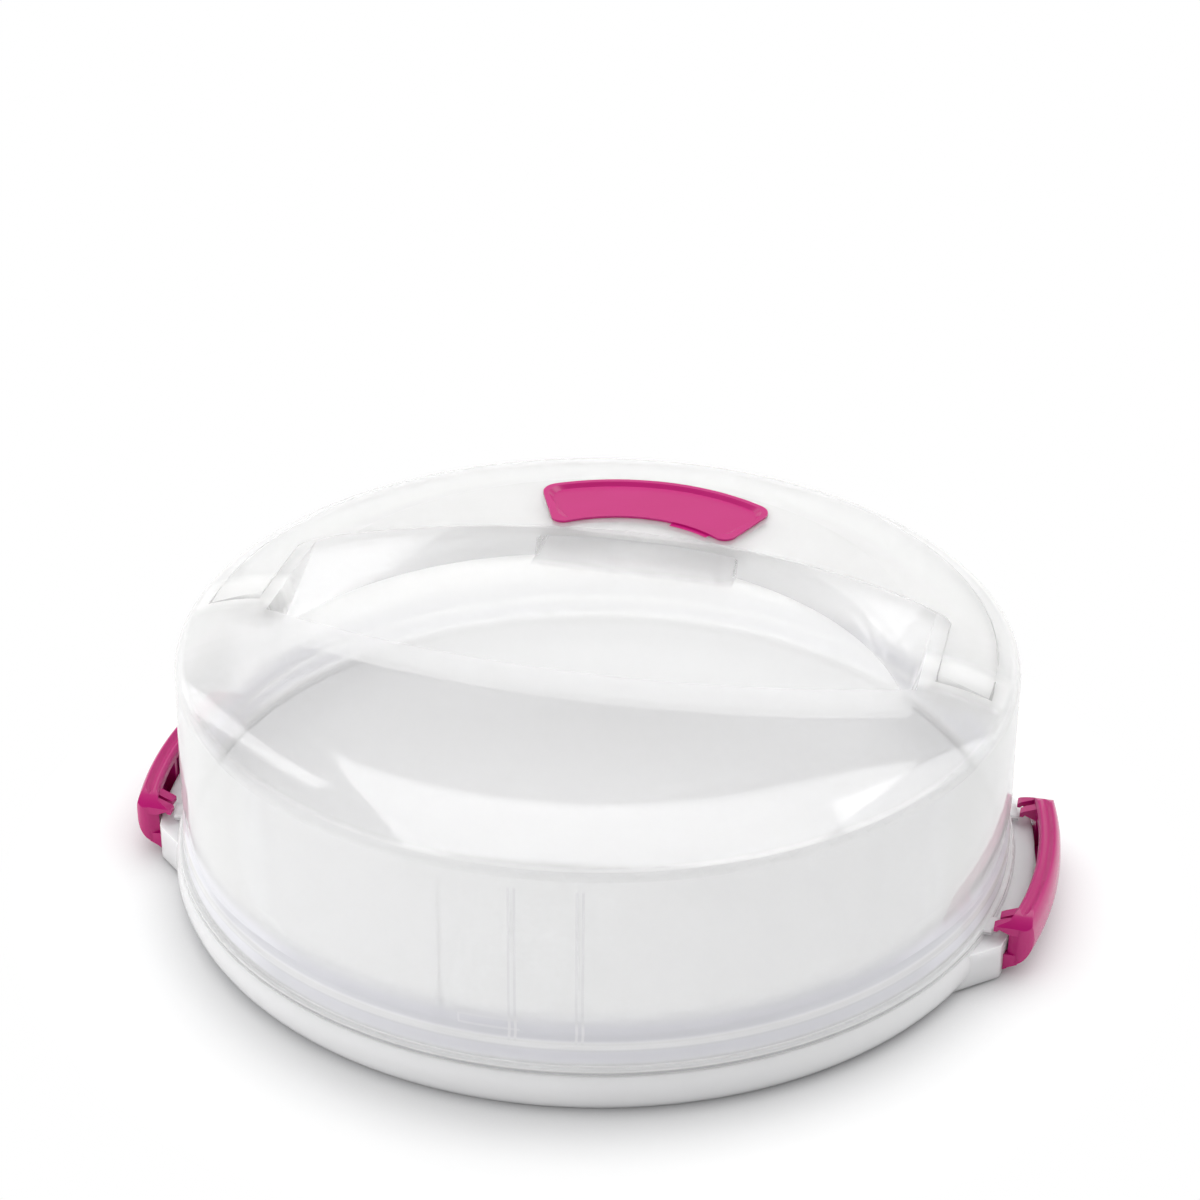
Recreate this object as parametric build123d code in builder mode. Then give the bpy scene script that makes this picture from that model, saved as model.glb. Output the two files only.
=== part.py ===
"""Round cake carrier: a tray with two ears, a lift-off lid, a folding handle and two side clips.

Millimetres. The origin is the centre of the face that the tray stands on. +Z is up, +X points
at the right clip and +Y at the grip of the folded handle.
"""

import math
import os

from build123d import *

# Tray: a round moulding that is open underneath
tray_rim_wall = 1.8
tray_rim_height = 17.0
tray_bulge = 1.1
tray_bulge_height = 8.5
tray_foot_inset = 4.5
rim_round = 0.9
tray_floor_height = 16.0
tray_wall = 2.4
groove_depth = 3.8
floor_edge_round = 1.0
foot_ring_radius = 92.0
foot_ring_wall = 2.2
tray_rib_count = 12
tray_rib_wall = 1.8
tray_rib_height = 6.0

# Ears: flat wings of the tray that carry the clips
ear_reach = 7.2
ear_end_width = 0.8
ear_side_run = 18.5
ear_corner_round = 4.0
ear_foot_gap = 1.2
ear_side_slant = 1.5
ear_overlap = 2.0

# Lid: a thin translucent drum with a gently domed top
shoulder_radius = 165.0
shoulder_height = 100.8
dome_edge_width = 40.0
dome_rise = 8.9
lid_wall = 2.0
shoulder_step = 2.2
shoulder_drop = 2.9
wall_bulge = 3.1
wall_bulge_height = 45.0
neck_step = 2.0
neck_height = 32.5
skirt_step = 3.6
ledge_height = 28.2
flange_width = 2.0
flange_thickness = 2.6
skirt_reach = 3.4
skirt_draft = 0.3
flange_round = 0.8
wall_bend = 60.0
neck_bend = 4.0
ledge_bend = 4.0
flange_bend = 0.5

# Play between pieces
skirt_clearance = 0.5
skirt_back_clearance = 1.2
pocket_side_gap = 0.5
pocket_floor_gap = 0.35
pin_clearance = 0.06
pin_end_gap = 0.5
latch_gap = 0.6

# Folding handle: a crescent that lies flush in a pocket of the lid top
handle_edge_inset = 7.5
handle_thickness = 3.6
handle_depth = 81.5
handle_inner_radius = 245.0
arm_width = 21.0
arm_corner_round = 8.0
pivot_y = -9.0
pivot_depth = 7.3
knuckle_radius = 6.6
handle_pin_radius = 2.5
handle_pin_length = 4.6
pin_boss_radius = 4.8

# Hand well: the lens-shaped hollow in front of the handle
well_side_inset = 6.5
well_front_reach = 43.7
well_front_radius = 457.0
well_depth = 10.9
well_back_slope = 2.6
well_front_slope = 2.4
well_side_slope = 4.0
well_tip_y = -19.5
well_tip_width = 3.5
scoop_half_width = 42.0
scoop_reach = 14.0
scoop_front_overlap = 12.0
scoop_corner_round = 5.0

# Grip: the dished coloured insert on the middle of the handle
grip_edge_inset = 33.5
grip_inner_radius = 52.8
grip_outer_radius = 88.0
grip_inner_half_width = 36.8
grip_outer_half_width = 51.1
grip_inner_round = 5.0
grip_outer_round = 8.0
grip_rim_height = 0.9
grip_rim_width = 2.2
grip_seat_depth = 2.0
grip_dish_floor = 1.3
grip_side_gap = 0.05
tab_width = 2.4
tab_start_angle = 12.0
tab_end_angle = 33.0
peg_radius = 2.5
peg_angle = 24.0
grip_dish_slope = 1.6

# Ribs and flat pads on the inside of the lid wall, front and back
rib_offsets = (-18.0, 9.0, 33.0)
rib_width = 1.6
rib_height = 1.1
rib_bottom = 29.5
rib_top_gap = 6.0
rib_overlap = 1.4
pad_length = 20.0
pad_height = 6.0
pad_bottom = 32.0
pad_thickness = 0.8
pad_offset = -2.0

# Clips: curved coloured bars that swing out from the ears
clip_back_gap = 0.8
clip_depth = 9.5
clip_half_length = 49.7
clip_bottom = 6.0
clip_height = 20.8
clip_wall = 2.6
clip_end_round = 5.0
clip_end_crown = 12.0
clip_axis_inset = 8.0
clip_axis_height = 6.0
hinge_lobe_radius = 3.6
hinge_lobe_inset = 2.9
hinge_lobe_length = 7.8
hinge_lobe_rise = 0.6
clip_pin_radius = 1.7
clip_pin_length = 5.0
hinge_notch_gap = 0.5
hinge_boss_radius = 4.4
hinge_boss_length = 6.4
prong_insets = (11.7, 4.7)
prong_width = 4.4
prong_tip_height = 19.9
prong_tip_thickness = 1.8
prong_tip_slope = 1.6
prong_toe_length = 1.3
prong_toe_bevel = 0.9
prong_heel_length = 3.0
prong_root_thickness = 7.0
prong_root_depth = 3.5
prong_root_drop = 0.9
clip_bay_count = 3
clip_bay_end_angle = 4.6
clip_rib_angle = 0.8

# Cross-section of a clip: its skin in shares of the clip's depth and height, then its hollow in
# shares of the room inside the wall
clip_skin_shares = (
    (0.44, 0.0),
    (0.79, 0.155),
    (0.98, 0.41),
    (0.97, 0.65),
    (0.865, 0.885),
    (0.64, 1.0),
    (0.41, 0.945),
    (0.21, 0.99),
    (0.02, 0.93),
)
clip_back_shares = ((0.0, 0.145), (0.125, 0.0))
clip_hollow_shares = ((0.54, 0.0), (0.94, 0.31), (0.94, 0.635), (0.77, 0.91))

# Lugs of the lid that lie under the tips of the clip's prongs
lug_reach = 3.0
lug_half_width = 4.6
lug_thickness = 2.2
lug_lift = 0.2

# Worked out from the sizes above; the shoulder of the lid sets every other radius
dome_top = shoulder_height + dome_rise
dome_flat_radius = shoulder_radius - dome_edge_width
dome_arc = (dome_edge_width**2 + dome_rise**2) / (2 * dome_rise)
wall_bulge_radius = shoulder_radius + wall_bulge
neck_radius = shoulder_radius + neck_step
skirt_radius = shoulder_radius + skirt_step
flange_radius = skirt_radius + flange_width
lug_radius = flange_radius + lug_reach
rim_inner_radius = skirt_radius + skirt_clearance
tray_rim_outer_radius = rim_inner_radius + tray_rim_wall
tray_bulge_radius = tray_rim_outer_radius + tray_bulge
tray_foot_radius = tray_bulge_radius - tray_foot_inset
groove_floor = tray_floor_height - groove_depth
skirt_bottom = tray_rim_height - skirt_reach
tray_floor_radius = skirt_radius - lid_wall - skirt_back_clearance
wall_top_radius = shoulder_radius + shoulder_step
step_low = shoulder_height - shoulder_drop
flange_top = tray_rim_height + flange_thickness
middle_radius = (dome_flat_radius + shoulder_radius) / 2
inner_arc_reach = shoulder_radius - lid_wall
grip_seat = dome_top - grip_seat_depth
pivot_height = dome_top - pivot_depth
well_floor_height = dome_top - well_depth
pocket_floor_depth = handle_thickness + pocket_floor_gap
well_radius = knuckle_radius + pocket_side_gap
handle_outer_radius = shoulder_radius - handle_edge_inset
handle_inner_reach = handle_outer_radius - handle_depth
arm_inner_x = handle_outer_radius - arm_width
well_side_x = arm_inner_x - well_side_inset
well_tip_x = well_side_x - well_side_slope
grip_centre_y = handle_outer_radius - grip_edge_inset - grip_outer_radius
peg_ring_radius = (grip_inner_radius + grip_outer_radius) / 2
ear_edge_radius = tray_bulge_radius + ear_reach
clip_inner_radius = ear_edge_radius + clip_back_gap
clip_outer_radius = clip_inner_radius + clip_depth
clip_half_angle = math.degrees(math.asin(clip_half_length / clip_outer_radius))
clip_bay_half_angle = clip_half_angle - clip_bay_end_angle
clip_top = clip_bottom + clip_height
clip_axis_x = clip_inner_radius - clip_axis_inset
hinge_lobe_end = clip_half_length - hinge_lobe_inset
hinge_lobe_start = hinge_lobe_end - hinge_lobe_length
prong_offsets = [clip_half_length - inset for inset in prong_insets]
prong_root_radius = clip_inner_radius + prong_root_depth
ear_half_width = clip_half_length + ear_end_width
ear_root_half_width = ear_half_width + ear_side_run
lug_offset = sum(prong_offsets) / 2
prong_tip_radius = lug_radius + latch_gap
cut_height = 10.0
lid_top_depth = 30.0

os.makedirs("parts", exist_ok=True)


def round_corner(outline, corner, radius):
    """Round the one corner of a profile that lies at a point."""
    fillet(outline.vertices().sort_by_distance(corner)[0], radius)


def dome_drop(radius, depth):
    """Height of the dome at a radius, the given depth under its skin."""
    if radius <= dome_flat_radius:
        return dome_top - depth
    across = radius - dome_flat_radius
    return dome_top - dome_arc + math.sqrt((dome_arc - depth) ** 2 - across**2)


def dome_slice(depth_top, depth_bottom, reach):
    """A disc between two depths under the dome's skin; a negative depth lies above the skin."""
    with BuildPart() as slice_part:
        with BuildSketch(Plane.XZ):
            with BuildLine():
                middle = (dome_flat_radius + reach) / 2
                top = [(r, dome_drop(r, depth_top)) for r in (dome_flat_radius, middle, reach)]
                low = [(r, dome_drop(r, depth_bottom)) for r in (dome_flat_radius, middle, reach)]
                Line((0, dome_top - depth_top), top[0])
                ThreePointArc(*top)
                Line(top[2], low[2])
                ThreePointArc(*low)
                Line(low[0], (0, dome_top - depth_bottom))
                Line((0, dome_top - depth_bottom), (0, dome_top - depth_top))
            make_face()
        revolve(axis=Axis.Z)
    return slice_part.part


def handle_outline(grow):
    """Plan of the crescent handle and its arms, grown by a gap on every side."""
    with BuildSketch() as outline:
        Circle(handle_outer_radius + grow)
        with Locations((0, handle_inner_reach - handle_inner_radius)):
            Circle(handle_inner_radius - grow, mode=Mode.SUBTRACT)
        arm_length = handle_inner_reach - pivot_y
        for side in (-1, 1):
            arm_middle = side * (arm_inner_x - grow + handle_outer_radius) / 2
            with BuildSketch(mode=Mode.PRIVATE) as arm:
                with Locations((arm_middle, pivot_y + arm_length / 2)):
                    Rectangle(handle_outer_radius - arm_inner_x + grow, arm_length)
                Circle(handle_outer_radius + grow, mode=Mode.INTERSECT)
            add(arm.sketch)
        with Locations((0, pivot_y - handle_outer_radius)):
            Rectangle(4 * handle_outer_radius, 2 * handle_outer_radius, mode=Mode.SUBTRACT)
        inner_corners = outline.vertices().filter_by(
            lambda v: abs(abs(v.X) - arm_inner_x + grow) < 0.01 and v.Y > 0
        )
        fillet(inner_corners, arm_corner_round)
    return outline.sketch


def well_outline(grow, floor):
    """Plan of the hand well, at the lid top or at the well's floor."""
    side_x = (well_tip_x if floor else well_side_x) + grow
    back_slope = well_back_slope if floor else 0.0
    front_slope = well_front_slope if floor else 0.0
    back_top = handle_inner_reach - back_slope + grow
    front_low = -well_front_reach + front_slope - grow
    if floor:
        back_side = well_tip_y + grow
        front_side = well_tip_y - well_tip_width - grow
    else:
        back_side = back_top - handle_inner_radius + math.sqrt(handle_inner_radius**2 - side_x**2)
        front_side = front_low + well_front_radius - math.sqrt(well_front_radius**2 - side_x**2)
    with BuildSketch() as outline:
        with BuildLine():
            ThreePointArc((-side_x, back_side), (0, back_top), (side_x, back_side))
            Line((side_x, back_side), (side_x, front_side))
            ThreePointArc((side_x, front_side), (0, front_low), (-side_x, front_side))
            Line((-side_x, front_side), (-side_x, back_side))
        make_face()
    return outline.sketch


def well_block(grow):
    """The hand well as a solid: sloping walls down to its floor, and the scoop under the grip."""
    floor_height = well_floor_height - grow
    scoop_top = dome_top - handle_thickness + grow
    scoop_length = scoop_front_overlap + scoop_reach
    with BuildPart() as block:
        with BuildSketch(Plane.XY.offset(dome_top)):
            add(well_outline(grow, floor=False))
        with BuildSketch(Plane.XY.offset(floor_height)):
            add(well_outline(grow, floor=True))
        loft(ruled=True)
        with BuildSketch(Plane.XY.offset(dome_top)):
            add(well_outline(grow, floor=False))
        extrude(amount=cut_height)
        with BuildSketch(Plane.XY.offset(floor_height)):
            with Locations((0, handle_inner_reach - scoop_front_overlap + scoop_length / 2)):
                RectangleRounded(
                    2 * (scoop_half_width + grow), scoop_length + 2 * grow, scoop_corner_round + grow
                )
        extrude(amount=scoop_top - floor_height)
    return block.part


def knuckle_space(radius, side_gap, front_gap):
    """Room round both arm knuckles, open upwards so that the arms can stand up."""
    length = handle_outer_radius - arm_inner_x + 2 * side_gap
    with BuildPart() as space:
        for side in (-1, 1):
            start = side * (arm_inner_x - side_gap)
            turn = Plane(origin=(start, pivot_y, pivot_height), x_dir=(0, 1, 0), z_dir=(side, 0, 0))
            with BuildSketch(turn):
                Circle(radius)
            extrude(amount=length)
            middle_x = side * (arm_inner_x + handle_outer_radius) / 2
            with BuildSketch(Plane.XY.offset(pivot_height)):
                with Locations((middle_x, pivot_y - front_gap / 2)):
                    Rectangle(length, front_gap)
            extrude(amount=cut_height + dome_rise)
    return space.part


def grip_outline(grow):
    """A curved bar whose two long sides are arcs round one centre, grown by a gap all round."""
    with BuildSketch() as outline:
        with BuildLine():
            ends = []
            for radius, half in (
                (grip_inner_radius - grow, grip_inner_half_width + grow),
                (grip_outer_radius + grow, grip_outer_half_width + grow),
            ):
                end_y = grip_centre_y + math.sqrt(radius**2 - half**2)
                ends.append([(-half, end_y), (0, grip_centre_y + radius), (half, end_y)])
            ThreePointArc(*ends[0])
            Line(ends[0][2], ends[1][2])
            ThreePointArc(*ends[1])
            Line(ends[1][0], ends[0][0])
        make_face()
        fillet(outline.vertices().group_by(Axis.Y)[-1], grip_outer_round)
        fillet(outline.vertices().group_by(Axis.Y)[0], grip_inner_round)
    return outline.sketch


def tab_outline(grow):
    """The short tab on the grip's inner edge."""
    with BuildSketch() as outline:
        with BuildLine():
            inner = grip_inner_radius - tab_width - grow
            outer = grip_inner_radius + grip_rim_width
            angles = [math.radians(a) for a in (tab_start_angle, tab_end_angle)]
            middle = sum(angles) / 2
            points = [
                [(r * math.sin(a), grip_centre_y + r * math.cos(a)) for a in (angles[0], middle, angles[1])]
                for r in (inner, outer)
            ]
            ThreePointArc(*points[0])
            Line(points[0][2], points[1][2])
            ThreePointArc(*points[1])
            Line(points[1][0], points[0][0])
        make_face()
    return outline.sketch


def ear_outline(inset):
    """Plan of one ear, on the +X side, drawn in from its edge by a wall."""
    edge = ear_edge_radius - inset
    half = ear_half_width - inset
    root = ear_root_half_width - ear_side_slant * inset
    edge_x = math.sqrt(edge**2 - half**2)
    root_x = math.sqrt(tray_foot_radius**2 - ear_root_half_width**2) - ear_overlap
    with BuildSketch() as outline:
        with BuildLine():
            ThreePointArc((edge_x, -half), (edge, 0), (edge_x, half))
            Polyline((edge_x, half), (root_x, root), (root_x, -root), (edge_x, -half))
        make_face()
        corners = outline.vertices().group_by(Axis.X)[-1]
        fillet(corners, ear_corner_round - inset)
    return outline.sketch


def clip_point(depth_share, height_share, wall):
    """A point of the clip's cross-section, in shares of the depth and height inside a wall."""
    height = clip_height - 2 * wall
    return (
        clip_inner_radius + depth_share * (clip_depth - wall),
        clip_bottom + wall + height_share * height,
    )


def hinge_plane(y):
    """Upright plane across the clip's hinge axis; it faces -Y and its own Y points up."""
    return Plane(origin=(clip_axis_x, y, clip_axis_height), x_dir=(1, 0, 0), z_dir=(0, -1, 0))


def pivot_plane(x):
    """Upright plane across the handle's hinge axis; it faces +X and its own Y points up."""
    return Plane(origin=(x, pivot_y, pivot_height), x_dir=(0, 1, 0), z_dir=(1, 0, 0))


def turn_plane(angle):
    """Upright plane through the Z axis, at an angle about it in degrees."""
    lean = math.radians(angle)
    return Plane(
        origin=(0, 0, 0),
        x_dir=(math.cos(lean), math.sin(lean), 0),
        z_dir=(math.sin(lean), -math.cos(lean), 0),
    )


with BuildPart() as ear:
    with BuildSketch(Plane.XY.offset(ear_foot_gap)):
        add(ear_outline(0))
    extrude(amount=tray_floor_height - ear_foot_gap)
    with BuildSketch(Plane.XY.offset(ear_foot_gap)):
        add(ear_outline(tray_wall))
    extrude(amount=tray_floor_height - ear_foot_gap - tray_wall, mode=Mode.SUBTRACT)

    # Bosses that hold the clip's pins, and notches beside them for the clip's hinge lobes
    boss_face = hinge_lobe_start - hinge_notch_gap
    notch_end = hinge_lobe_end + hinge_notch_gap
    notch_radius = hinge_lobe_radius + hinge_notch_gap
    notch_length = ear_edge_radius - clip_axis_x + notch_radius
    for side in (-1, 1):
        with BuildSketch(hinge_plane(side * boss_face)):
            Circle(hinge_boss_radius)
            with Locations((0, hinge_boss_radius)):
                Rectangle(2 * hinge_boss_radius, 2 * hinge_boss_radius)
        extrude(amount=side * hinge_boss_length)
    with BuildSketch(Plane.XY.offset(ear_foot_gap)):
        add(ear_outline(0))
    extrude(amount=tray_floor_height - ear_foot_gap, mode=Mode.INTERSECT)
    for side in (-1, 1):
        with BuildSketch():
            notch_x = clip_axis_x - notch_radius + notch_length / 2
            with Locations((notch_x, side * (boss_face + notch_end) / 2)):
                Rectangle(notch_length, notch_end - boss_face)
        extrude(amount=clip_axis_height + notch_radius, mode=Mode.SUBTRACT)
        with BuildSketch(hinge_plane(side * boss_face)):
            Circle(clip_pin_radius + pin_clearance)
        extrude(amount=side * (clip_pin_length - hinge_notch_gap + pin_end_gap), mode=Mode.SUBTRACT)

    # The round tray takes over here
    with BuildSketch():
        Circle(tray_foot_radius)
    extrude(amount=tray_floor_height, mode=Mode.SUBTRACT)

with BuildPart() as tray:
    with BuildSketch(Plane.XZ) as tray_profile:
        with BuildLine():
            under = tray_floor_height - tray_wall
            channel_under = groove_floor - tray_wall
            foot = Line((tray_foot_radius - tray_wall, 0), (tray_foot_radius, 0))
            side_curve = ThreePointArc(
                (tray_foot_radius, 0),
                (tray_bulge_radius, tray_bulge_height),
                (tray_rim_outer_radius, tray_rim_height),
            )
            Polyline(
                side_curve @ 1,
                (rim_inner_radius, tray_rim_height),
                (rim_inner_radius, groove_floor),
                (tray_floor_radius, groove_floor),
                (tray_floor_radius, tray_floor_height),
                (0, tray_floor_height),
                (0, under),
                (tray_floor_radius - tray_wall, under),
                (tray_floor_radius - tray_wall, channel_under),
                (tray_bulge_radius - tray_wall, channel_under),
                foot @ 0,
            )
        make_face()
        round_corner(tray_profile, (tray_rim_outer_radius, tray_rim_height), rim_round)
        round_corner(tray_profile, (tray_floor_radius, tray_floor_height), floor_edge_round)
    revolve(axis=Axis.Z)

    # Foot ring and stiffening ribs under the floor
    with BuildSketch():
        Circle(foot_ring_radius)
        Circle(foot_ring_radius - foot_ring_wall, mode=Mode.SUBTRACT)
    extrude(amount=under + tray_wall / 2)
    rib_start = foot_ring_radius - foot_ring_wall / 2
    rib_end = tray_floor_radius - tray_wall / 2
    with BuildSketch(Plane.XY.offset(under - tray_rib_height)):
        with PolarLocations((rib_start + rib_end) / 2, tray_rib_count):
            Rectangle(rib_end - rib_start, tray_rib_wall)
    extrude(amount=tray_rib_height + tray_wall / 2)
    add(ear.part)
    mirror(ear.part, about=Plane.YZ)

    # The groove for the lid runs on past the ears
    with BuildSketch(Plane.XY.offset(groove_floor)):
        Circle(rim_inner_radius)
        Circle(tray_floor_radius, mode=Mode.SUBTRACT)
    extrude(amount=tray_rim_height, mode=Mode.SUBTRACT)
tray.part.label = "tray"
export_step(tray.part, "parts/tray.step")


# Solids that shape the lid top, kept apart from the lid until its shell is made
lid_reach = handle_outer_radius + pocket_side_gap + 1.5 * lid_wall
under_skin = dome_slice(lid_wall / 2, lid_top_depth, lid_reach)

with BuildPart() as pocket:
    with BuildSketch(Plane.XY.offset(shoulder_height - cut_height)):
        add(handle_outline(pocket_side_gap))
    extrude(amount=4 * cut_height)
    add(
        dome_slice(-cut_height, pocket_floor_depth, handle_outer_radius + 2 * lid_wall),
        mode=Mode.INTERSECT,
    )

with BuildPart() as lid_blocks:
    with BuildSketch(Plane.XY.offset(shoulder_height - cut_height)):
        add(handle_outline(pocket_side_gap + lid_wall))
    extrude(amount=2 * cut_height + dome_rise)
    add(
        dome_slice(-lid_wall, pocket_floor_depth + lid_wall, lid_reach + lid_wall),
        mode=Mode.INTERSECT,
    )
    add(well_block(lid_wall))
    add(knuckle_space(well_radius + lid_wall, pocket_side_gap + lid_wall, well_radius + lid_wall))
    for side in (-1, 1):
        with BuildSketch(pivot_plane(side * (arm_inner_x - pocket_side_gap))):
            Circle(pin_boss_radius)
        extrude(amount=-side * (handle_pin_length + lid_wall))
    add(under_skin, mode=Mode.INTERSECT)

with BuildPart() as lid:
    with BuildSketch(Plane.XZ) as lid_profile:
        with BuildLine():
            outer_arc = [(r, dome_drop(r, 0)) for r in (dome_flat_radius, middle_radius, shoulder_radius)]
            inner_arc = [
                (r, dome_drop(r, lid_wall)) for r in (inner_arc_reach, middle_radius, dome_flat_radius)
            ]
            Line((0, dome_top), outer_arc[0])
            dome = ThreePointArc(*outer_arc)
            TangentArc(outer_arc[2], (wall_top_radius, step_low), tangent=dome % 1)
            Polyline(
                (wall_top_radius, step_low),
                (wall_bulge_radius, wall_bulge_height),
                (neck_radius, neck_height),
                (skirt_radius, ledge_height),
                (skirt_radius, flange_top),
                (flange_radius, flange_top),
                (flange_radius, tray_rim_height),
                (skirt_radius, tray_rim_height),
                (skirt_radius - skirt_draft, skirt_bottom),
                (skirt_radius - skirt_draft - lid_wall, skirt_bottom),
                (skirt_radius - lid_wall, ledge_height),
                (neck_radius - lid_wall, neck_height),
                (wall_bulge_radius - lid_wall, wall_bulge_height),
                (wall_top_radius - lid_wall, step_low - lid_wall / 2),
                inner_arc[0],
            )
            ThreePointArc(*inner_arc)
            Polyline(inner_arc[2], (0, dome_top - lid_wall), (0, dome_top))
        make_face()
        for wall_offset in (0, lid_wall):
            round_corner(lid_profile, (wall_bulge_radius - wall_offset, wall_bulge_height), wall_bend)
            round_corner(lid_profile, (neck_radius - wall_offset, neck_height), neck_bend)
            round_corner(lid_profile, (skirt_radius - wall_offset, ledge_height), ledge_bend)
        round_corner(lid_profile, (skirt_radius, flange_top), flange_bend)
        round_corner(lid_profile, (flange_radius, flange_top), flange_round)
        round_corner(lid_profile, (flange_radius, tray_rim_height), flange_round / 2)
    revolve(axis=Axis.Z)
    add(lid_blocks.part)

    # Room for the handle's knuckles, its pocket, the hand well, and holes for its pins
    add(knuckle_space(well_radius, pocket_side_gap, well_radius), mode=Mode.SUBTRACT)
    add(pocket.part, mode=Mode.SUBTRACT)
    add(well_block(0), mode=Mode.SUBTRACT)
    for side in (-1, 1):
        with BuildSketch(pivot_plane(side * (arm_inner_x - pocket_side_gap))):
            Circle(handle_pin_radius + pin_clearance)
        extrude(
            amount=-side * (handle_pin_length - pocket_side_gap + pin_end_gap), mode=Mode.SUBTRACT
        )

    # Low ribs down the inside of the wall and a flat pad between two of them, front and back
    wall_inside = wall_top_radius - lid_wall
    rib_depth = rib_height + rib_overlap
    pad_depth = pad_thickness + rib_overlap
    for half_turn in (0, 180):
        for offset_x in rib_offsets:
            turn = half_turn - 90 + math.degrees(math.asin(offset_x / wall_inside))
            with BuildSketch(Plane.XY.offset(rib_bottom)):
                with Locations(Location((0, 0, 0), (0, 0, turn))):
                    with Locations((wall_inside - rib_height + rib_depth / 2, 0)):
                        Rectangle(rib_depth, rib_width)
            extrude(amount=step_low - rib_top_gap - rib_bottom)
        turn = half_turn - 90 + math.degrees(math.asin(pad_offset / wall_inside))
        with BuildSketch(Plane.XY.offset(pad_bottom)):
            with Locations(Location((0, 0, 0), (0, 0, turn))):
                with Locations((wall_inside - pad_thickness + pad_depth / 2, 0)):
                    Rectangle(pad_depth, pad_length)
        extrude(amount=pad_height)

    # Lugs on the flange, under the prongs of the clips
    with BuildSketch(Plane.XY.offset(tray_rim_height + lug_lift)):
        for side_x in (-1, 1):
            for side_y in (-1, 1):
                with Locations((side_x * (lug_radius - cut_height), side_y * lug_offset)):
                    Rectangle(2 * cut_height, 2 * lug_half_width)
        Circle(lug_radius, mode=Mode.INTERSECT)
        Circle(skirt_radius - lid_wall / 2, mode=Mode.SUBTRACT)
    extrude(amount=lug_thickness)
lid.part.label = "lid"
export_step(lid.part, "parts/lid.step")

with BuildPart() as knuckles:
    for side in (-1, 1):
        with BuildSketch(pivot_plane(side * arm_inner_x)):
            Circle(knuckle_radius)
        extrude(amount=side * (handle_outer_radius - arm_inner_x))
    with BuildSketch():
        Circle(handle_outer_radius)
    extrude(amount=dome_top, mode=Mode.INTERSECT)

with BuildPart() as carry_handle:
    with BuildSketch(Plane.XY.offset(shoulder_height - cut_height)):
        add(handle_outline(0))
    extrude(amount=2 * cut_height + dome_rise)
    add(dome_slice(-lid_wall, handle_thickness, handle_outer_radius + lid_wall), mode=Mode.INTERSECT)
    add(knuckles.part)
    add(dome_slice(0, lid_top_depth, handle_outer_radius + lid_wall), mode=Mode.INTERSECT)
    for side in (-1, 1):
        with BuildSketch(pivot_plane(side * arm_inner_x)):
            Circle(handle_pin_radius)
        extrude(amount=-side * handle_pin_length)
    with BuildSketch(Plane.XY.offset(grip_seat)):
        add(grip_outline(grip_side_gap))
        add(tab_outline(grip_side_gap))
    extrude(amount=cut_height, mode=Mode.SUBTRACT)
    with BuildSketch(Plane.XY.offset(grip_seat)):
        with Locations((0, grip_centre_y)):
            with PolarLocations(peg_ring_radius, 2, 90 - peg_angle, 2 * peg_angle):
                Circle(peg_radius + grip_side_gap)
    extrude(amount=-handle_thickness, mode=Mode.SUBTRACT)
carry_handle.part.label = "carry_handle"
export_step(carry_handle.part, "parts/carry_handle.step")

with BuildPart() as handle_grip:
    with BuildSketch(Plane.XY.offset(grip_seat)):
        add(grip_outline(0))
    extrude(amount=grip_seat_depth + grip_rim_height)
    with BuildSketch(Plane.XY.offset(grip_seat + grip_dish_floor)):
        add(grip_outline(-grip_rim_width - grip_dish_slope))
    with BuildSketch(Plane.XY.offset(dome_top + grip_rim_height)):
        add(grip_outline(-grip_rim_width))
    loft(ruled=True, mode=Mode.SUBTRACT)
    with BuildSketch(Plane.XY.offset(grip_seat)):
        add(tab_outline(0))
    extrude(amount=grip_seat_depth)
    with BuildSketch(Plane.XY.offset(grip_seat)):
        with Locations((0, grip_centre_y)):
            with PolarLocations(peg_ring_radius, 2, 90 - peg_angle, 2 * peg_angle):
                Circle(peg_radius)
    extrude(amount=-(handle_thickness - grip_seat_depth))
handle_grip.part.label = "handle_grip"
export_step(handle_grip.part, "parts/handle_grip.step")

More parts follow.
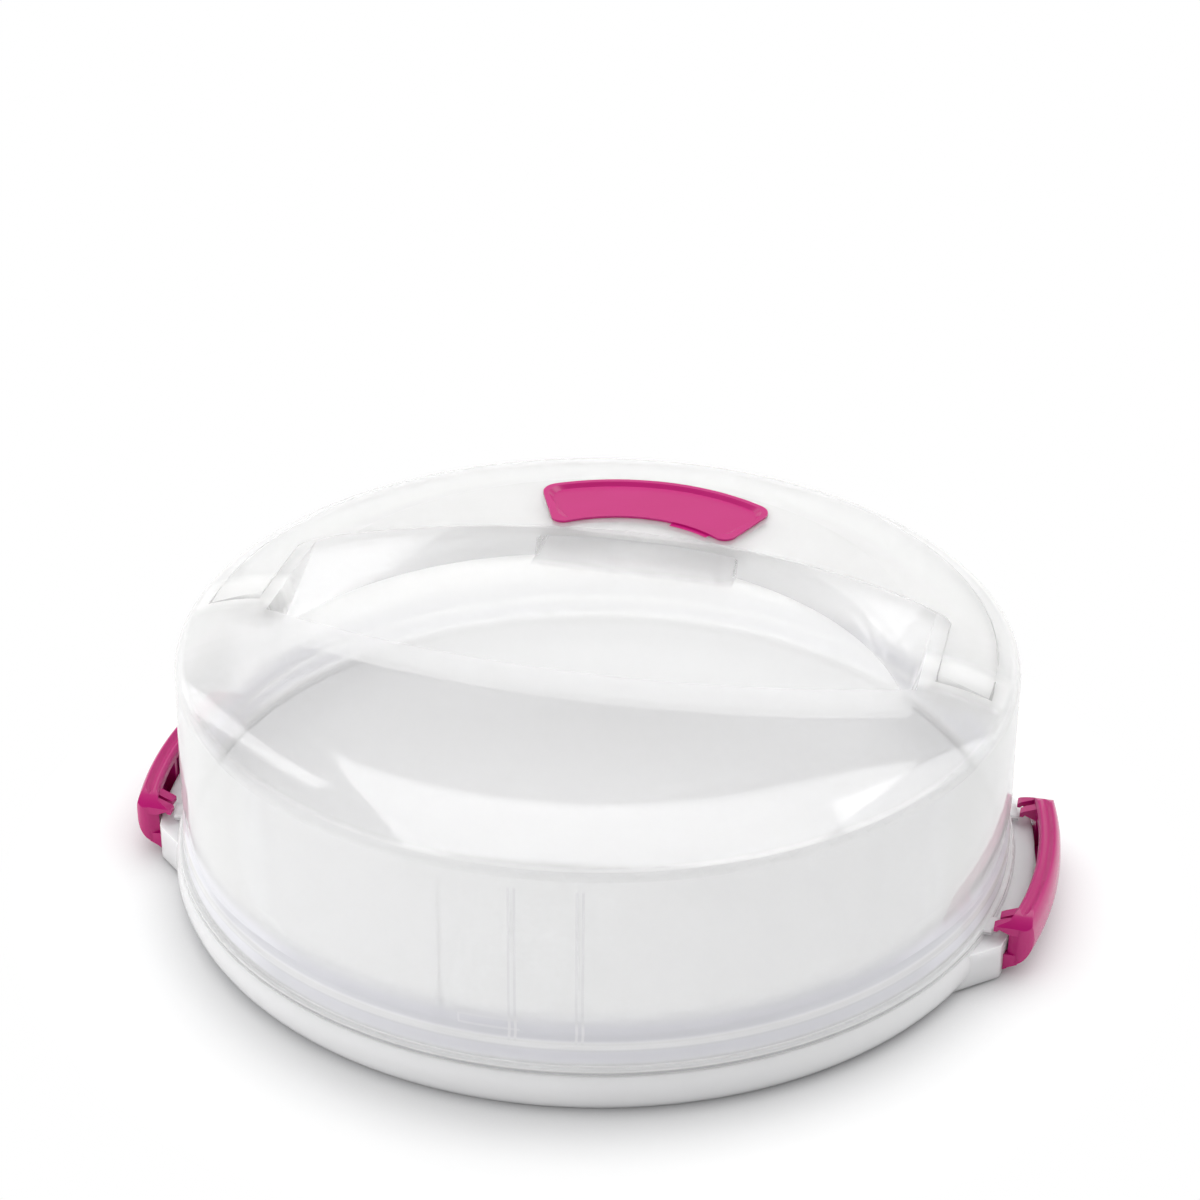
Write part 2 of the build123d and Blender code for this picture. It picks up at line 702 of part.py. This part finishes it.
with BuildPart() as right_clip:
    with BuildSketch(turn_plane(-clip_half_angle)):
        with BuildLine():
            skin = Spline(*[clip_point(*share, 0) for share in clip_skin_shares])
            Polyline(skin @ 1, *[clip_point(*share, 0) for share in clip_back_shares], skin @ 0)
        make_face()
    revolve(axis=Axis.Z, revolution_arc=2 * clip_half_angle)
    with BuildSketch() as wedge:
        with BuildLine():
            lean = math.radians(clip_half_angle)
            reach = clip_outer_radius
            ends = [(reach * math.cos(a), reach * math.sin(a)) for a in (-lean, 0, lean)]
            ThreePointArc(*ends)
            Polyline(ends[2], (clip_axis_x / 2, 0), ends[0])
        make_face()
        fillet(wedge.vertices().group_by(Axis.X)[-1], clip_end_round)
    extrude(amount=clip_top + cut_height, mode=Mode.INTERSECT)

    # Hollow back, in bays between two stiffening ribs
    bay_angle = (2 * clip_bay_half_angle - (clip_bay_count - 1) * clip_rib_angle) / clip_bay_count
    for bay in range(clip_bay_count):
        start = -clip_bay_half_angle + bay * (bay_angle + clip_rib_angle)
        with BuildSketch(turn_plane(start)):
            with BuildLine():
                hollow = [clip_point(*share, clip_wall) for share in clip_hollow_shares]
                open_side = clip_inner_radius - clip_wall
                Polyline((open_side, hollow[0][1]), *hollow, (open_side, hollow[-1][1]), close=True)
            make_face()
        revolve(axis=Axis.Z, revolution_arc=bay_angle, mode=Mode.SUBTRACT)

    # Two prongs at each end that reach in over the lugs of the lid
    for side in (-1, 1):
        for offset_y in prong_offsets:
            tip = math.sqrt(prong_tip_radius**2 - offset_y**2) - clip_axis_x
            root = math.sqrt(prong_root_radius**2 - offset_y**2) - clip_axis_x
            low = prong_tip_height - clip_axis_height
            top = clip_top - clip_axis_height - prong_root_drop
            with BuildSketch(hinge_plane(side * offset_y)):
                with BuildLine():
                    Polyline(
                        (tip, low),
                        (tip + prong_toe_length, low),
                        (tip + prong_toe_length + prong_toe_bevel, low + prong_toe_bevel),
                        (root - prong_heel_length, top - prong_root_thickness),
                        (root, top - prong_root_thickness),
                        (root, top),
                        (tip + prong_tip_slope, low + prong_tip_thickness + prong_toe_bevel),
                        (tip, low + prong_tip_thickness),
                        close=True,
                    )
                make_face()
            extrude(amount=prong_width / 2, both=True)

    # The top falls off towards both ends
    with BuildSketch(Plane.YZ):
        with Locations((0, clip_top / 2)):
            crown = Rectangle(2 * clip_half_length, clip_top)
        fillet(crown.vertices().group_by(Axis.Z)[-1], clip_end_crown)
    extrude(amount=2 * clip_outer_radius, both=True, mode=Mode.INTERSECT)

    # Hinge lobes and their pins, low on the inside of both ends
    for side in (-1, 1):
        lobe_reach = math.sqrt(clip_inner_radius**2 - hinge_lobe_start**2) - clip_axis_x + clip_wall
        with BuildSketch(hinge_plane(side * hinge_lobe_start)):
            Circle(hinge_lobe_radius)
            with BuildLine():
                Polyline(
                    (0, -hinge_lobe_radius),
                    (lobe_reach, -hinge_lobe_rise),
                    (lobe_reach, hinge_lobe_radius),
                    (0, hinge_lobe_radius),
                    close=True,
                )
            make_face()
        extrude(amount=-side * hinge_lobe_length)
        with BuildSketch(hinge_plane(side * hinge_lobe_start)):
            Circle(clip_pin_radius)
        extrude(amount=side * clip_pin_length)
right_clip.part.label = "right_clip"
export_step(right_clip.part, "parts/right_clip.step")

with BuildPart() as left_clip:
    mirror(right_clip.part, about=Plane.YZ)
left_clip.part.label = "left_clip"
export_step(left_clip.part, "parts/left_clip.step")
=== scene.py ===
"""Looks of the round cake carrier: its moulded plastics, a pale studio floor, lights and camera.

Metres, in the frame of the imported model: +Z up, +X towards the right clip, +Y towards the grip.
"""

import math

import bpy
from mathutils import Matrix, Vector

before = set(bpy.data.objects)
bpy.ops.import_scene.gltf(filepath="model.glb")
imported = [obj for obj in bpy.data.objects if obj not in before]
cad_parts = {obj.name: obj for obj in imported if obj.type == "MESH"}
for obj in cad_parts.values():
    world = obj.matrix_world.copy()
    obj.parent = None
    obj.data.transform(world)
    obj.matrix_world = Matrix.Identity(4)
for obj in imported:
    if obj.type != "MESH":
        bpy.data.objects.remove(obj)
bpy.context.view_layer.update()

# Camera: a long lens on a stand, a little to the right of the front and looking down on the lid.
# The carrier stands a little left of the picture's middle and below it.
camera_place = Vector((0.2144, -0.9107, 0.6287))
camera_heading = math.radians(13.205)
camera_pitch = math.radians(28.64)
camera_roll = math.radians(0.44)

camera_data = bpy.data.cameras.new("camera")
camera_data.lens = 81.0
camera_data.sensor_width = 36.0
camera = bpy.data.objects.new("camera", camera_data)
camera.matrix_world = (
    Matrix.Translation(camera_place)
    @ Matrix.Rotation(camera_heading, 4, "Z")
    @ Matrix.Rotation(math.radians(90) - camera_pitch, 4, "X")
    @ Matrix.Rotation(camera_roll, 4, "Z")
)
bpy.context.scene.collection.objects.link(camera)
bpy.context.scene.camera = camera
bpy.context.scene.view_settings.view_transform = "Standard"


# Tray: one injection moulding in opaque white polypropylene. Its skin is satin with the faint
# orange peel of a polished mould. Its edges are rougher where they have been handled, and a
# painted highlight makes them lighter.
class Wire:
    """A socket in a finish's node tree. Arithmetic on it adds Math nodes."""

    def __init__(self, tree, socket=None):
        self.tree = tree
        self.socket = socket

    def node(self, kind, values, output=0, **settings):
        """Add a node: its settings first, then values or wires into its sockets."""
        made = self.tree.nodes.new("ShaderNode" + kind)
        for name, value in settings.items():
            setattr(made, name, value)
        for name, value in values.items():
            if isinstance(value, Wire):
                self.tree.links.new(value.socket, made.inputs[name])
            else:
                made.inputs[name].default_value = value
        return Wire(self.tree, made.outputs[output])

    def math(self, operation, left, right=0.0):
        """One step of arithmetic on numbers and wires."""
        return self.node("Math", {0: left, 1: right}, operation=operation)

    def __add__(self, other):
        return self.math("ADD", self, other)

    def __sub__(self, other):
        return self.math("SUBTRACT", self, other)

    def __rsub__(self, other):
        return self.math("SUBTRACT", other, self)

    def __mul__(self, other):
        return self.math("MULTIPLY", self, other)

    def __neg__(self):
        return self.math("MULTIPLY", self, -1.0)

    def __abs__(self):
        return self.math("ABSOLUTE", self)

    __radd__ = __add__
    __rmul__ = __mul__

    def clamp(self):
        """The value held between 0 and 1."""
        return self.node("Clamp", {"Value": self})

    def between(self, low, high):
        """0 below low, 1 above high, and a smooth step from one to the other."""
        limits = {"Value": self, "From Min": low, "From Max": high}
        return self.node("MapRange", limits, interpolation_type="SMOOTHSTEP")

    def within(self, low, high, blur):
        """1 from low to high, with a smooth step of a width just inside both ends."""
        return self.between(low, low + blur) * (1 - self.between(high - blur, high))

    def near(self, value, reach):
        """1 close to a value, and a smooth fall to 0 at a reach from it."""
        return 1 - abs(self - value).between(0.4 * reach, reach)

    def axis(self, name):
        """The X, Y or Z of a place."""
        return self.node("SeparateXYZ", {"Vector": self}, output=name)

    def length(self):
        """How far a place lies from the origin."""
        return self.node("VectorMath", {0: self}, output="Value", operation="LENGTH")

    def tint(self, low, high):
        """This value as the mask between two colours."""
        return self.node("Mix", {0: self, 6: low, 7: high}, output=2, data_type="RGBA")

    def noise(self, size, detail=2.0):
        """Soft noise with features of a size in metres, in the space that this wire holds."""
        return self.node("TexNoise", {"Vector": self, "Scale": 1.0 / size, "Detail": detail})

    def bump(self, height, strength, depth):
        """The surface's normal, tilted by a relief of a depth in metres."""
        relief = {"Height": height, "Strength": strength, "Distance": depth}
        return self.node("Bump", relief)

    def rays(self):
        """Three switches: the camera sees this, a glossy skin mirrors it, it is looked through."""
        kinds = ("Is Camera Ray", "Is Glossy Ray", "Is Transmission Ray")
        return [self.node("LightPath", {}, output=kind) for kind in kinds]


def start_moulding(name):
    """A new plastic finish: its material, its surface shader and the place on the piece."""
    finish = bpy.data.materials.new(name)
    finish.use_nodes = True
    plastic = finish.node_tree.nodes["Principled BSDF"]
    place = Wire(finish.node_tree).node("TexCoord", {}, output="Object")
    return finish, plastic, place


def soft_edges(place, width):
    """A mask that is 1 on the edges of a moulding, and fades out within a width of them."""
    rounded = place.node("Bevel", {"Radius": width}, samples=4)
    sharp = place.node("NewGeometry", {}, output="Normal")
    sides = {0: rounded, 1: sharp}
    likeness = place.node("VectorMath", sides, output="Value", operation="DOT_PRODUCT")
    return (1 - likeness).between(0.01, 0.30)


def connect(plastic, place, looks):
    """Fill the surface shader's sockets with numbers, colours and wires."""
    for name, value in looks.items():
        if isinstance(value, Wire):
            place.tree.links.new(value.socket, plastic.inputs[name])
        else:
            plastic.inputs[name].default_value = value


def dress(node_name, finish):
    """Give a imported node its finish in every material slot."""
    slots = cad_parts[node_name].material_slots
    for slot in slots:
        slot.material = finish


white_polypropylene, plastic, place = start_moulding("white_polypropylene")
milk_white = (0.77, 0.77, 0.78, 1.0)
bright_white = (0.85, 0.85, 0.855, 1.0)
light_depth = 0.006
clouds = place.noise(0.045)
peel = place.noise(0.0016)
# Edge mask: it makes the edges rougher as wear and lighter as a painted highlight
worn_and_highlit_edge = soft_edges(place, 0.0012)
scuffs = place.noise(0.009, detail=6.0).between(0.56, 0.72)
connect(
    plastic,
    place,
    {
        "Base Color": (0.7 * clouds + 0.5 * worn_and_highlit_edge).clamp().tint(milk_white, bright_white),
        "Roughness": 0.10 + 0.06 * clouds + 0.10 * worn_and_highlit_edge + 0.05 * scuffs,
        "Normal": place.bump(peel + 3.0 * clouds, strength=0.04, depth=0.0002),
        "Specular IOR Level": 0.5,
        "Subsurface Weight": 1.0,
        "Subsurface Radius": (1.0, 1.0, 1.0),
        "Subsurface Scale": light_depth,
    },
)
dress("tray", white_polypropylene)

# Lid and carry handle: thin mouldings in milky polypropylene that let light through. They look
# denser where seen at a slant. Light and shade are painted into the milk: rings of painted
# highlight and bands of painted shade near the lid's rim, painted shade that greys it at a slant
# and in grey lines along two ribs and a pad inside the wall, and painted light that whitens it
# over the well's flat floor and round the pivots. It is thinner on the well's front wall and
# under the grip, so that the shade there doesn't show.
milky_polypropylene, plastic, place = start_moulding("milky_polypropylene")
x, y, z = (place.axis(name) for name in "XYZ")
in_plan = place.node("VectorMath", {0: place, 1: (1.0, 1.0, 0.0)}, operation="MULTIPLY")
upward = place.node("TexCoord", {}, output="Normal").axis("Z")
slant = place.node("LayerWeight", {"Blend": 0.5}, output="Facing")

# The lid's wall, and the rings of painted highlight and the bands of painted shade that run
# round it near the rim
wall_radius = 0.1645
ledge_ring, flange_ring, rim_ring = 0.0285, 0.0192, 0.0162
skirt_band = 0.0238
neck_start, neck_fade, neck_end = 0.0290, 0.0345, 0.0430
in_wall = in_plan.length().between(wall_radius - 0.002, wall_radius)
painted_highlight_rings = 0.6 * z.near(ledge_ring, 0.0022) + z.near(flange_ring, 0.0012)
painted_highlight_rings = in_wall * (painted_highlight_rings + z.near(rim_ring, 0.0014)).clamp()
neck_shade_band = z.between(neck_start, neck_start + 0.0015) * (1 - z.between(neck_fade, neck_end))
painted_shade_bands = in_wall * (neck_shade_band + z.near(skirt_band, 0.0042)).clamp()

# Two ribs and a flat pad inside the wall, at the front, and again at the back after half a turn.
# Grey lines of painted shade run along their edges.
rib_places = (-0.009, -0.033)
rib_half_width = 0.0011
rib_bottom, rib_top = 0.0285, 0.0950
pad_start, pad_end = -0.0118, 0.0110
pad_bottom, pad_top = 0.0330, 0.0372
line_width = 0.0007
across = x * y.math("SIGN", y)
rib_edges = sum(
    across.near(rib + side * rib_half_width, line_width) for rib in rib_places for side in (-1, 1)
)
rib_shade_lines = rib_edges * in_wall * z.within(rib_bottom, rib_top, 0.002)
pad_sides = z.near(pad_bottom, line_width) + z.near(pad_top, line_width)
pad_sides = pad_sides * across.within(pad_start, pad_end + 0.0004, 0.0004)
pad_upright = across.near(pad_end, 0.0006)
pad_upright = pad_upright * z.within(pad_bottom - 0.0002, pad_top + 0.0002, 0.0004)
rib_and_pad_shade_lines = (rib_shade_lines + 0.6 * in_wall * (pad_sides + pad_upright)).clamp()

# The hand well: its flat floor, its front wall, the handle's pivots and the scoop under the grip
well_floor_height = 0.0978
well_middle = -0.005
pivot_row, pivot_start = -0.009, 0.130
scoop_start, scoop_end = 0.056, 0.092
scoop_half_width, scoop_roof = 0.0435, 0.1058
steep = 1 - abs(upward).between(0.60, 0.85)
# Painted light: the well's flat, upward-facing floor gets more white milk
well_floor_painted_light = z.near(well_floor_height, 0.0035) * upward.between(0.9950, 0.9990)
in_well_front = (1 - y.between(well_middle - 0.005, well_middle)) * z.between(0.0965, 0.0975)
well_front = steep * (1 - in_wall) * in_well_front
# Painted light: more white milk round the pivots covers the shade in their gaps
pivots_painted_light = abs(x).between(pivot_start - 0.005, pivot_start) * y.near(pivot_row, 0.016)
pivots_painted_light = pivots_painted_light * (1 - in_wall) * z.between(0.094, 0.096)
under_grip = y.between(scoop_start, scoop_start + 0.008)
under_grip = under_grip * (1 - y.between(scoop_end - 0.002, scoop_end))
under_grip = under_grip * (1 - abs(x).between(scoop_half_width - 0.001, scoop_half_width))
under_grip = under_grip * (1 - z.between(scoop_roof - 0.0008, scoop_roof))

# The milk in the plastic, and how much it covers of what lies behind it. Its greys are painted
# shade: at a slant, in the bands and in the lines along the ribs and pad.
slant_shade_milk = (0.72, 0.72, 0.715, 1.0)
shade_band_milk = (0.66, 0.66, 0.70, 1.0)
line_shade_milk = (0.78, 0.78, 0.80, 1.0)
haze = place.noise(0.06)
glancing = slant.between(0.49, 0.62)
warm_milk = haze.tint((0.93, 0.925, 0.915, 1.0), (0.98, 0.975, 0.965, 1.0))
cool_milk = haze.tint((0.92, 0.92, 0.935, 1.0), (0.97, 0.97, 0.985, 1.0))
milk = glancing.tint(in_wall.tint(warm_milk, cool_milk), slant_shade_milk)
cover = 0.19 + 0.01 * haze + 0.26 * glancing + 0.20 * well_floor_painted_light + 0.14 * in_wall
# Painted light: thinner milk on the well's front wall and under the grip hides the shade there
cover = cover * (1 - 0.8 * well_front) * (1 - 0.65 * under_grip)
cover = cover + 0.30 * pivots_painted_light + 0.35 * painted_highlight_rings + 0.36 * painted_shade_bands
peel = place.noise(0.003)
sinks = place.noise(0.03, detail=1.0)
scratches = place.noise(0.012, detail=8.0).between(0.60, 0.70)
ripple = place.bump(0.3 * peel + 2.0 * sinks, strength=0.10, depth=0.0004)
connect(
    plastic,
    place,
    {
        "Base Color": rib_and_pad_shade_lines.tint(painted_shade_bands.tint(milk, shade_band_milk), line_shade_milk),
        "Alpha": cover.clamp(),
        "Roughness": 0.3,
        "Normal": ripple,
        "Specular IOR Level": 0.0,
        "Subsurface Weight": 1.0,
        "Subsurface Radius": (1.0, 1.0, 1.0),
        "Subsurface Scale": light_depth,
    },
)

# The glossy skin of a polished mould lies over it, stronger at a slant
shine = (0.045 + 0.6 * slant.math("POWER", slant, 5.0)) * (1 - 0.8 * well_front)
skin_roughness = 0.04 + 0.015 * haze + 0.015 * scratches
gloss_looks = {"Color": (1.0, 1.0, 1.0, 1.0), "Roughness": skin_roughness, "Normal": ripple}
polish = place.node("BsdfGlossy", gloss_looks)
skin = place.node("MixShader", {0: shine, 1: Wire(place.tree, plastic.outputs[0]), 2: polish})
place.tree.links.new(skin.socket, place.tree.nodes["Material Output"].inputs["Surface"])
dress("lid", milky_polypropylene)
dress("carry_handle", milky_polypropylene)

# Grip and clips: glossy mouldings in magenta polypropylene with a fine grain and rubbed patches.
# A painted highlight makes their edges a lighter pink. The grip is pressed into the handle by
# two pegs.
pink_polypropylene, plastic, place = start_moulding("pink_polypropylene")
deep_pink = (0.45, 0.004, 0.14, 1.0)
light_pink = (0.54, 0.010, 0.20, 1.0)
clouds = place.noise(0.02)
grain = place.noise(0.0009)
# Painted highlight along the edges
highlit_edge = soft_edges(place, 0.0010)
rubbed = place.noise(0.006, detail=6.0).between(0.55, 0.72)
connect(
    plastic,
    place,
    {
        "Base Color": (0.5 * clouds + 0.6 * highlit_edge).clamp().tint(deep_pink, light_pink),
        "Roughness": 0.20 + 0.06 * clouds + 0.03 * rubbed,
        "Normal": place.bump(grain + 2.0 * clouds, strength=0.07, depth=0.0002),
        "Specular IOR Level": 0.5,
    },
)
for name in ("handle_grip", "right_clip", "left_clip"):
    dress(name, pink_polypropylene)

# Floor: a pale sweep of studio board under the carrier. It keeps the soft shadow round the foot of
# the tray, has a painted shadow that darkens it where the tray comes close, and is seen as white
# further out.
board_reach = 6.0
shadow_start, shadow_end = 0.165, 0.245
contact_reach = 0.03
shaded_board = (0.42, 0.42, 0.43, 1.0)
open_board = (0.98, 0.98, 0.98, 1.0)
corners = [(-board_reach, -board_reach, 0), (board_reach, -board_reach, 0)]
corners += [(board_reach, board_reach, 0), (-board_reach, board_reach, 0)]
floor_mesh = bpy.data.meshes.new("floor")
floor_mesh.from_pydata(corners, [], [(0, 1, 2, 3)])
floor = bpy.data.objects.new("floor", floor_mesh)
bpy.context.scene.collection.objects.link(floor)

pale_board = bpy.data.materials.new("pale_board")
pale_board.use_nodes = True
board_tree = pale_board.node_tree
board_tree.nodes.remove(board_tree.nodes["Principled BSDF"])
board = Wire(board_tree)
# Painted shadow: the board's colour darkens towards shaded_board where the tray comes close
open_air = board.node("AmbientOcclusion", {"Distance": contact_reach}, output="AO", samples=8)
matt_shaded = board.node("BsdfDiffuse", {"Color": shaded_board})
matt_open = board.node("BsdfDiffuse", {"Color": open_board})
matt = board.node("MixShader", {0: open_air, 1: matt_shaded, 2: matt_open})
glow = board.node("Emission", {"Color": (1.0, 1.0, 1.0, 1.0), "Strength": 1.0})
seen, mirrored, looked_through = board.rays()
far = board.node("TexCoord", {}, output="Object").length().between(shadow_start, shadow_end)
bright = (seen + mirrored + looked_through).clamp() * (0.03 + 0.97 * far)
surface = board.node("MixShader", {0: bright, 1: matt, 2: glow})
board_tree.links.new(surface.socket, board_tree.nodes["Material Output"].inputs["Surface"])
floor_mesh.materials.append(pale_board)

# Studio: a pale room that the camera sees as white, a little dimmer towards the front. A wide
# soft box hangs over the back, with a narrow one beside it, one at the right and one at the left
# that is screened so that it doesn't mirror in the lid.
room = bpy.data.worlds.new("room")
bpy.context.scene.world = room
room.use_nodes = True
room_tree = room.node_tree
air = Wire(room_tree)
seen, mirrored, looked_through = air.rays()
direction = air.node("TexCoord", {}, output="Generated")
ceiling = direction.axis("Z").between(0.28, 0.44)
front_wall = (-direction.axis("Y")).between(-0.2, 0.8)
left_wall = (-direction.axis("X")).between(-0.2, 1.0)
zenith = direction.axis("Z").between(0.0, 0.9)
fill = 0.655 + 0.27 * zenith - 0.20 * front_wall + 0.12 * left_wall
gloss = 1 - 0.45 * ceiling - 0.6 * front_wall
plain_white = (seen + looked_through).clamp()
strength = plain_white + (1 - plain_white) * (mirrored * gloss + (1 - mirrored) * fill)
room_tree.links.new(strength.socket, room_tree.nodes["Background"].inputs["Strength"])
room_tree.nodes["Background"].inputs["Color"].default_value = (1.0, 1.0, 1.0, 1.0)

# Name, place, width, height, watts, and whether glossy surfaces mirror it
soft_boxes = (
    ("overhead_box", (-0.05, 0.56, 1.42), 1.3, 0.95, 8.0, True),
    ("left_box", (-0.995, 0.66, 0.96), 0.12, 0.8, 0.70, True),
    ("right_box", (0.85, 0.65, 1.10), 0.8, 0.8, 4.0, True),
    ("side_box", (-1.4, -0.8, 0.55), 1.9, 1.1, 8.5, False),
)
aim = Vector((0.0, 0.0, 0.05))
for name, spot, width, height, watts, mirrors in soft_boxes:
    lamp = bpy.data.lights.new(name, "AREA")
    lamp.shape = "RECTANGLE"
    lamp.size = width
    lamp.size_y = height
    lamp.energy = watts
    box = bpy.data.objects.new(name, lamp)
    box.location = spot
    box.rotation_mode = "QUATERNION"
    box.rotation_quaternion = (Vector(spot) - aim).to_track_quat("Z", "Y")
    box.visible_glossy = mirrors
    bpy.context.scene.collection.objects.link(box)
